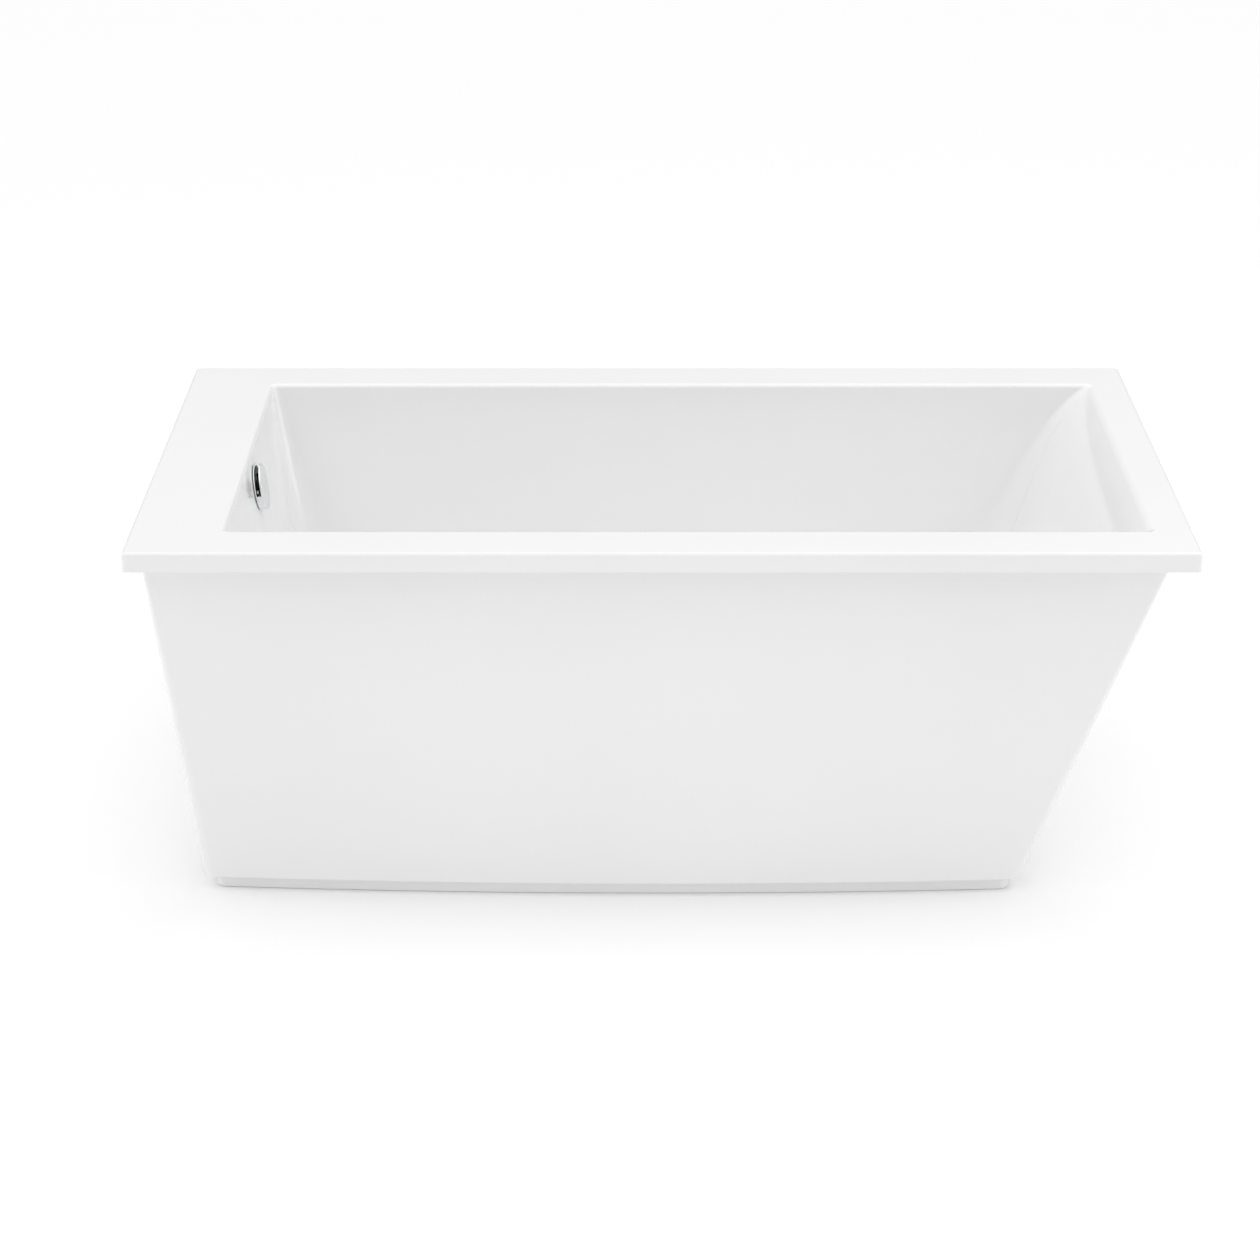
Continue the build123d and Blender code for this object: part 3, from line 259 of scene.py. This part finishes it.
def floor_rings(edge):
    """From the flat floor's edge in to the drain's dish, then down to the drain hole's rim."""
    floor_level = TUB_HEIGHT - BASIN_DEPTH
    dish_level = floor_level - DISH_DEPTH
    lip = drain_circle(DISH_RADIUS + DISH_DEPTH + 3, floor_level, edge)
    rings = blend_rings(edge, lip, (0.01, 0.04, 0.12, 0.24, 0.37, 0.5, 0.63, 0.76, 0.88, 0.96))
    slopes = (
        (3.0, 0.0), (1.6, -0.12), (0.4, -0.5), (-0.7, -1.2),
        (-1.8, -2.1), (-3.0, -2.75), (-4.4, -3.0), (-6, -3.0),
    )
    for out, drop in slopes:
        rings.append(drain_circle(DISH_RADIUS + DISH_DEPTH + out, floor_level + drop, edge))
    rings.append(drain_circle(DRAIN_HOLE + 0.5, dish_level, edge))
    rings.append(drain_circle(DRAIN_HOLE, dish_level - 0.5, edge))
    rings.append(drain_circle(DRAIN_HOLE, dish_level - SHELL_WALL, edge))
    return rings


def underside_rings(edge):
    """Back out under the floor, up the basin's outer face and out under the deck."""
    knee = BASIN_DEPTH - BASIN_FLOOR_RADIUS
    under = TUB_HEIGHT - BASIN_DEPTH - DISH_DEPTH - SHELL_WALL
    boss = DISH_RADIUS + 10
    rings = [drain_circle(boss, under, edge), drain_circle(boss, under + DISH_DEPTH, edge)]
    steps = 10
    for step in range(steps, -1, -1):
        angle = math.pi / 2 * step / steps
        depth = knee + (BASIN_FLOOR_RADIUS + SHELL_WALL) * math.sin(angle)
        inset = (BASIN_FLOOR_RADIUS + SHELL_WALL) * (1 - math.cos(angle))
        rings.append(basin_ring(depth, -inset, SHELL_WALL))
    depths = [knee * (1 - s / 24) ** 1.3 for s in range(1, 24)]
    rings += [basin_ring(depth, 0, SHELL_WALL) for depth in depths if depth > SHELL_WALL + 1]
    rings.append(basin_ring(SHELL_WALL, 0, SHELL_WALL))
    return rings


def deck_rings(mouth):
    """The lip, the deck's rounded edge and the flat deck, from inside the lip to the basin's mouth."""
    rings = [at_level(rectangle(SHELL_WALL, 1.5), TUB_HEIGHT - SHELL_WALL)]
    rings.append(at_level(rectangle(SHELL_WALL, 1.5), LIP_BOTTOM + 0.4))
    rings.append(at_level(rectangle(SHELL_WALL - 0.4, 1.5), LIP_BOTTOM))
    bottom_edge = 1.0
    for step in range(5):
        angle = math.pi / 2 * step / 4
        inset = bottom_edge * (1 - math.sin(angle))
        level = LIP_BOTTOM + bottom_edge * (1 - math.cos(angle))
        rings.append(at_level(rectangle(inset, DECK_CORNER - inset), level))
    rings.append(at_level(rectangle(0, DECK_CORNER), LIP_BOTTOM + bottom_edge + 0.6))
    rings.append(at_level(rectangle(0, DECK_CORNER), TUB_HEIGHT - DECK_EDGE - 0.6))
    for step in range(9):
        angle = math.pi / 2 * step / 8
        inset = DECK_EDGE * (1 - math.cos(angle))
        level = TUB_HEIGHT - DECK_EDGE * (1 - math.sin(angle))
        rings.append(at_level(rectangle(inset, DECK_CORNER - inset), level))
    inner = rings[-1]
    rings += blend_rings(inner, mouth, (0.01, 0.1, 0.25, 0.4, 0.55, 0.7, 0.83, 0.93, 0.985))
    return rings


def tub_shell():
    """The deck, lip and basin as one closed mesh."""
    mouth = mouth_rings()
    floor_curve = floor_curve_rings()
    edge = floor_curve[-1]
    rings = deck_rings(mouth[0]) + mouth + wall_rings()
    rings += floor_curve + floor_rings(edge) + underside_rings(edge)
    piece = rings_mesh("shell_body", rings)
    cut_with(piece, overflow_cutter())
    weigh_normals(piece)
    return piece


def overflow_cutter():
    """A plug through the left wall where the overflow is."""
    bpy.ops.mesh.primitive_cylinder_add(vertices=64, radius=OVERFLOW_HOLE * MM, depth=8 * SHELL_WALL * MM)
    cutter = bpy.context.object
    x = MOUTH_LEFT + OVERFLOW_DEPTH * math.tan(LEFT_DRAFT)
    turn = Matrix.Rotation(math.pi / 2 - LEFT_DRAFT, 4, "Y")
    cutter.matrix_world = Matrix.Translation((x * MM, 0, (TUB_HEIGHT - OVERFLOW_DEPTH) * MM)) @ turn
    return cutter


# The skirt and the plinth

def inset_outline(sizes, inset):
    left, right, half_width, side_radius, corner = sizes
    corner = max(corner - inset, 1.0)
    return outline(left + inset, right - inset, half_width - inset, side_radius - inset, corner)


def skirt_ring(level, inset=0.0):
    """The skirt's outline at a level: straight rulings between its top and bottom outlines."""
    share = (level - APRON_BOTTOM) / (LIP_BOTTOM - APRON_BOTTOM)
    foot = inset_outline(APRON_FOOT, inset)
    top = inset_outline(APRON_TOP, inset)
    return at_level(foot * (1 - share) + top * share, level)


def skirt():
    """The tapered skirt with its top flange, rounded bottom edge and bottom flange."""
    flange_edge = rectangle(SHELL_WALL + LIP_GAP, DECK_CORNER)
    rings = [at_level(flange_edge, LIP_BOTTOM + APRON_WALL), at_level(flange_edge, LIP_BOTTOM)]
    fillet = 2.0
    for step in range(6):
        angle = math.pi / 2 * step / 5
        out = fillet * (1 - math.sin(angle))
        rings.append(skirt_ring(LIP_BOTTOM - fillet * (1 - math.cos(angle)), -out))
    steps = 56
    edge = 2.5
    start = LIP_BOTTOM - fillet - 0.5
    end = APRON_BOTTOM + edge + 0.5
    rings += [skirt_ring(start + (end - start) * s / steps) for s in range(steps + 1)]
    for step in range(7):
        angle = math.pi / 2 * step / 6
        rings.append(skirt_ring(APRON_BOTTOM + edge * (1 - math.sin(angle)), edge * (1 - math.cos(angle))))
    rings.append(skirt_ring(APRON_BOTTOM, edge + 0.6))
    rings.append(skirt_ring(APRON_BOTTOM, APRON_RETURN - 0.6))
    rings.append(skirt_ring(APRON_BOTTOM, APRON_RETURN))
    rings.append(at_level(skirt_ring(APRON_BOTTOM, APRON_RETURN)[:, :2], APRON_BOTTOM + APRON_WALL))
    rings.append(skirt_ring(APRON_BOTTOM + APRON_WALL, APRON_WALL + 1))
    rings.append(skirt_ring(APRON_BOTTOM + APRON_WALL + 1, APRON_WALL))
    rings += [skirt_ring(s, APRON_WALL) for s in np.linspace(40, LIP_BOTTOM - 1, 10)]
    rings.append(at_level(skirt_ring(LIP_BOTTOM, APRON_WALL)[:, :2], LIP_BOTTOM + APRON_WALL))
    piece = rings_mesh("skirt_panel", rings)
    weigh_normals(piece)
    return piece


def plinth_ring(level, inset=0.0):
    return at_level(inset_outline(PLINTH, inset), level)


def plinth():
    """The recessed ring at the floor."""
    edge = 1.2
    rings = [plinth_ring(APRON_BOTTOM, PLINTH_RETURN), plinth_ring(APRON_BOTTOM, edge)]
    for step in range(5):
        angle = math.pi / 2 * step / 4
        rings.append(plinth_ring(APRON_BOTTOM - edge * (1 - math.cos(angle)), edge * (1 - math.sin(angle))))
    top = APRON_BOTTOM - edge - 0.3
    bottom = PLINTH_FLOOR_GAP + edge + 0.3
    rings += [plinth_ring(level) for level in np.linspace(top, bottom, 5)]
    for step in range(5):
        angle = math.pi / 2 * step / 4
        level = PLINTH_FLOOR_GAP + edge * (1 - math.sin(angle))
        rings.append(plinth_ring(level, edge * (1 - math.cos(angle))))
    rings.append(plinth_ring(PLINTH_FLOOR_GAP, PLINTH_WALL))
    rings.append(plinth_ring(APRON_BOTTOM - PLINTH_WALL, PLINTH_WALL))
    rings.append(plinth_ring(APRON_BOTTOM - PLINTH_WALL, PLINTH_RETURN))
    piece = rings_mesh("plinth_ring", rings)
    weigh_normals(piece)
    return piece


# Materials

def new_material(name):
    material = bpy.data.materials.new(name)
    material.use_nodes = True
    return material, material.node_tree, material.node_tree.nodes["Principled BSDF"]


def position(tree, scale=(1, 1, 1)):
    """Object coordinates, stretched: the pieces sit at the origin, so these are the row frame's."""
    source = tree.nodes.new("ShaderNodeTexCoord")
    mapping = tree.nodes.new("ShaderNodeMapping")
    mapping.inputs["Scale"].default_value = scale
    tree.links.new(source.outputs["Object"], mapping.inputs["Vector"])
    return mapping.outputs["Vector"]


def noise(tree, scale, detail=2.0, stretch=(1, 1, 1)):
    node = tree.nodes.new("ShaderNodeTexNoise")
    node.inputs["Scale"].default_value = scale
    node.inputs["Detail"].default_value = detail
    tree.links.new(position(tree, stretch), node.inputs["Vector"])
    return node.outputs["Fac"]


def ramp(tree, factor, low, high, start=0.3, end=0.7):
    """From one colour or grey to another as factor goes from start to end."""
    node = tree.nodes.new("ShaderNodeValToRGB")
    for element, place, value in zip(node.color_ramp.elements, (start, end), (low, high)):
        element.position = place
        colour = value if isinstance(value, tuple) else (value, value, value)
        element.color = (*colour, 1)
    tree.links.new(factor, node.inputs["Fac"])
    return node.outputs["Color"]


def bump(tree, shader, height, distance, strength=1.0, under=None):
    node = tree.nodes.new("ShaderNodeBump")
    node.inputs["Distance"].default_value = distance
    node.inputs["Strength"].default_value = strength
    tree.links.new(height, node.inputs["Height"])
    if under is not None:
        tree.links.new(under, node.inputs["Normal"])
    tree.links.new(node.outputs["Normal"], shader.inputs["Normal"])
    return node.outputs["Normal"]


def acrylic():
    """Cast white acrylic: a clear gloss over white, faintly uneven in shade, with a long shallow ripple."""
    material, tree, shader = new_material("acrylic_white")
    shade = ramp(tree, noise(tree, 2.2, 3.0), (0.885, 0.887, 0.886), (0.905, 0.906, 0.904))
    tree.links.new(shade, shader.inputs["Base Color"])
    polish = ramp(tree, noise(tree, 9.0, 4.0), 0.16, 0.22)
    tree.links.new(polish, shader.inputs["Roughness"])
    shader.inputs["IOR"].default_value = 1.49
    shader.inputs["Coat Weight"].default_value = 0.35
    shader.inputs["Coat Roughness"].default_value = 0.06
    ripple = bump(tree, shader, noise(tree, 14.0, 1.0), 0.00012)
    bump(tree, shader, noise(tree, 420.0, 2.0), 0.000012, under=ripple)
    return material


def chrome():
    """Bright plating over brass, with fine polishing marks."""
    material, tree, shader = new_material("chrome_plate")
    tint = ramp(tree, noise(tree, 60.0, 2.0), (0.80, 0.81, 0.83), (0.88, 0.89, 0.90))
    tree.links.new(tint, shader.inputs["Base Color"])
    shader.inputs["Metallic"].default_value = 1.0
    haze = ramp(tree, noise(tree, 300.0, 3.0, (1, 1, 6)), 0.05, 0.11)
    tree.links.new(haze, shader.inputs["Roughness"])
    bump(tree, shader, noise(tree, 900.0, 2.0), 0.000004)
    return material


def moulded(name, dark, light, roughness, grain, depth):
    """A moulded plastic or rubber with a fine grain."""
    material, tree, shader = new_material(name)
    tree.links.new(ramp(tree, noise(tree, 40.0, 3.0), dark, light), shader.inputs["Base Color"])
    polish = ramp(tree, noise(tree, 120.0, 2.0), roughness, roughness + 0.12)
    tree.links.new(polish, shader.inputs["Roughness"])
    bump(tree, shader, noise(tree, grain, 3.0), depth)
    return material


def metal(name, dark, light, roughness, stretch, grain=500.0):
    """Bare metal with a drawn or spangled grain."""
    material, tree, shader = new_material(name)
    streaks = noise(tree, grain, 3.0, stretch)
    tree.links.new(ramp(tree, streaks, dark, light), shader.inputs["Base Color"])
    polish = ramp(tree, noise(tree, 90.0, 3.0), roughness, roughness + 0.15)
    tree.links.new(polish, shader.inputs["Roughness"])
    shader.inputs["Metallic"].default_value = 1.0
    bump(tree, shader, streaks, 0.00001)
    return material


def powder_coat():
    material, tree, shader = new_material("frame_powder_coat")
    coat = ramp(tree, noise(tree, 25.0, 3.0), (0.10, 0.105, 0.11), (0.14, 0.145, 0.15))
    tree.links.new(coat, shader.inputs["Base Color"])
    tree.links.new(ramp(tree, noise(tree, 200.0, 2.0), 0.38, 0.5), shader.inputs["Roughness"])
    bump(tree, shader, noise(tree, 700.0, 2.0), 0.00005)
    return material


def timber(name, dark, light, stretch):
    """Wood with its grain along one axis and darker bands."""
    material, tree, shader = new_material(name)
    wave = tree.nodes.new("ShaderNodeTexWave")
    wave.inputs["Scale"].default_value = 18.0
    wave.inputs["Distortion"].default_value = 7.0
    wave.inputs["Detail"].default_value = 4.0
    wave.inputs["Detail Scale"].default_value = 1.6
    tree.links.new(position(tree, stretch), wave.inputs["Vector"])
    tree.links.new(ramp(tree, wave.outputs["Fac"], dark, light, 0.1, 0.9), shader.inputs["Base Color"])
    fibres = noise(tree, 260.0, 4.0, stretch)
    tree.links.new(ramp(tree, fibres, 0.55, 0.75), shader.inputs["Roughness"])
    bump(tree, shader, fibres, 0.0001)
    return material


def make_materials():
    """One material for each of the record's slots."""
    return {
        "acrylic": acrylic(),
        "chrome": chrome(),
        "adhesive": moulded("bond_adhesive", (0.36, 0.35, 0.31), (0.48, 0.47, 0.43), 0.5, 90.0, 0.0002),
        "rubber": moulded("rubber_black", (0.012, 0.012, 0.013), (0.03, 0.03, 0.03), 0.6, 800.0, 0.00003),
        "black_plastic": moulded(
            "plastic_black", (0.008, 0.008, 0.009), (0.018, 0.018, 0.018), 0.4, 500.0, 0.00002
        ),
        "white_pipe": moulded(
            "plastic_pipe_white", (0.66, 0.66, 0.63), (0.75, 0.75, 0.72), 0.35, 300.0, 0.00002
        ),
        "steel_frame": powder_coat(),
        "zinc_steel": metal("steel_zinc", (0.52, 0.53, 0.54), (0.70, 0.71, 0.70), 0.28, (1, 1, 1), 120.0),
        "brass": metal("brass_turned", (0.55, 0.40, 0.16), (0.72, 0.56, 0.27), 0.2, (1, 1, 8)),
        "plywood": timber("plywood_raw", (0.40, 0.27, 0.15), (0.60, 0.44, 0.27), (0.4, 2.0, 6.0)),
        "timber": timber("softwood_planed", (0.46, 0.31, 0.16), (0.66, 0.49, 0.29), (2.0, 0.3, 2.0)),
    }


def dress(piece, material):
    piece.data.materials.clear()
    piece.data.materials.append(material)


def dress_cad_nodes(materials):
    """Each CAD node gets the material of its slot in the record."""
    slots = {row["node"]: row["material_slot"] for row in frame["record"]["subparts"]}
    for name, node in frame["nodes"].items():
        for slot in node.material_slots:
            slot.material = materials[slots[name]]


# The stage

FLOOR_RADIUS = 60.0
GLOW_NEAR = 0.148
GLOW_FAR = 0.168
SKY_HORIZON = 0.18
SKY_ZENITH = 1.32
CAMERA_PLACE = (-0.0495, -4.878, 2.382)
CAMERA_PITCH = 23.13  # degrees below level
LENS = 87.97


def studio_floor():
    """A pale floor that glows, more so away from the tub, so that only the closest shadows show on it."""
    bpy.ops.mesh.primitive_circle_add(vertices=96, radius=FLOOR_RADIUS, fill_type="TRIFAN")
    floor = bpy.context.object
    floor.name = "studio_floor"
    material, tree, shader = new_material("studio_floor")
    shader.inputs["Base Color"].default_value = (0.80, 0.80, 0.80, 1)
    shader.inputs["Roughness"].default_value = 0.9
    shader.inputs["Specular IOR Level"].default_value = 0.0
    shader.inputs["Emission Color"].default_value = (1, 1, 1, 1)
    distance = tree.nodes.new("ShaderNodeVectorMath")
    distance.operation = "LENGTH"
    tree.links.new(position(tree), distance.inputs[0])
    glow = tree.nodes.new("ShaderNodeMapRange")
    glow.inputs["From Min"].default_value = 1.0
    glow.inputs["From Max"].default_value = 5.0
    glow.inputs["To Min"].default_value = GLOW_NEAR
    glow.inputs["To Max"].default_value = GLOW_FAR
    tree.links.new(distance.outputs["Value"], glow.inputs["Value"])
    tree.links.new(glow.outputs["Result"], shader.inputs["Emission Strength"])
    floor.data.materials.append(material)


def area_light(name, place, aim, size, power):
    light = bpy.data.lights.new(name, "AREA")
    light.shape = "RECTANGLE"
    light.size, light.size_y = size
    light.energy = power
    lamp = bpy.data.objects.new(name, light)
    lamp.location = place
    lamp.rotation_euler = (Vector(aim) - Vector(place)).to_track_quat("-Z", "Y").to_euler()
    bpy.context.collection.objects.link(lamp)
    return lamp


def studio_world():
    """A plain white surround, brighter overhead than at the horizon."""
    world = bpy.data.worlds.new("studio_world")
    world.use_nodes = True
    tree = world.node_tree
    background = tree.nodes["Background"]
    source = tree.nodes.new("ShaderNodeTexCoord")
    split = tree.nodes.new("ShaderNodeSeparateXYZ")
    height = tree.nodes.new("ShaderNodeMapRange")
    height.inputs["From Min"].default_value = 0.0
    height.inputs["From Max"].default_value = 0.9
    height.inputs["To Min"].default_value = SKY_HORIZON
    height.inputs["To Max"].default_value = SKY_ZENITH
    tree.links.new(source.outputs["Generated"], split.inputs["Vector"])
    tree.links.new(split.outputs["Z"], height.inputs["Value"])
    tree.links.new(height.outputs["Result"], background.inputs["Strength"])
    background.inputs["Color"].default_value = (1, 1, 1, 1)
    bpy.context.scene.world = world


def studio_lights():
    """Long softboxes over the front edge, one at each end, and a small low light in front of the skirt."""
    edge = -DECK_WIDTH / 2 * MM
    area_light("softbox_over_left", (-2.2, edge, 3.8), (0, edge, 0.4), (2.4, 0.5), 3.2)
    area_light("softbox_over_right", (2.2, edge, 3.8), (0, edge, 0.4), (2.4, 0.5), 11.4)
    area_light("softbox_end_left", (-3.5, -0.3, 1.2), (0.6, 0, 0.5), (2.0, 1.0), 14.3)
    area_light("softbox_end_right", (3.5, -0.3, 1.2), (-0.6, 0, 0.5), (2.0, 1.0), 13.8)
    glow = area_light("front_glow", (-0.05, -1.35, 0.3), (-0.05, 0, 0.2), (0.4, 0.3), 0.31)
    glow.visible_camera = False
    glow.visible_glossy = False


def camera():
    data = bpy.data.cameras.new("camera")
    data.lens = LENS
    data.sensor_width = 36.0
    data.clip_end = 100.0
    view = bpy.data.objects.new("camera", data)
    view.location = CAMERA_PLACE
    view.rotation_euler = (math.radians(90 - CAMERA_PITCH), 0, 0)
    bpy.context.collection.objects.link(view)
    bpy.context.scene.camera = view


camera()
materials = make_materials()
dress_cad_nodes(materials)
for build, node in ((tub_shell, "tub_shell"), (skirt, "apron"), (plinth, "plinth")):
    made = build()
    dress(made, materials["acrylic"])
    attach(made, "tub")
    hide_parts(node)
studio_floor()
studio_world()
studio_lights()
bpy.context.scene.view_settings.view_transform = "Standard"
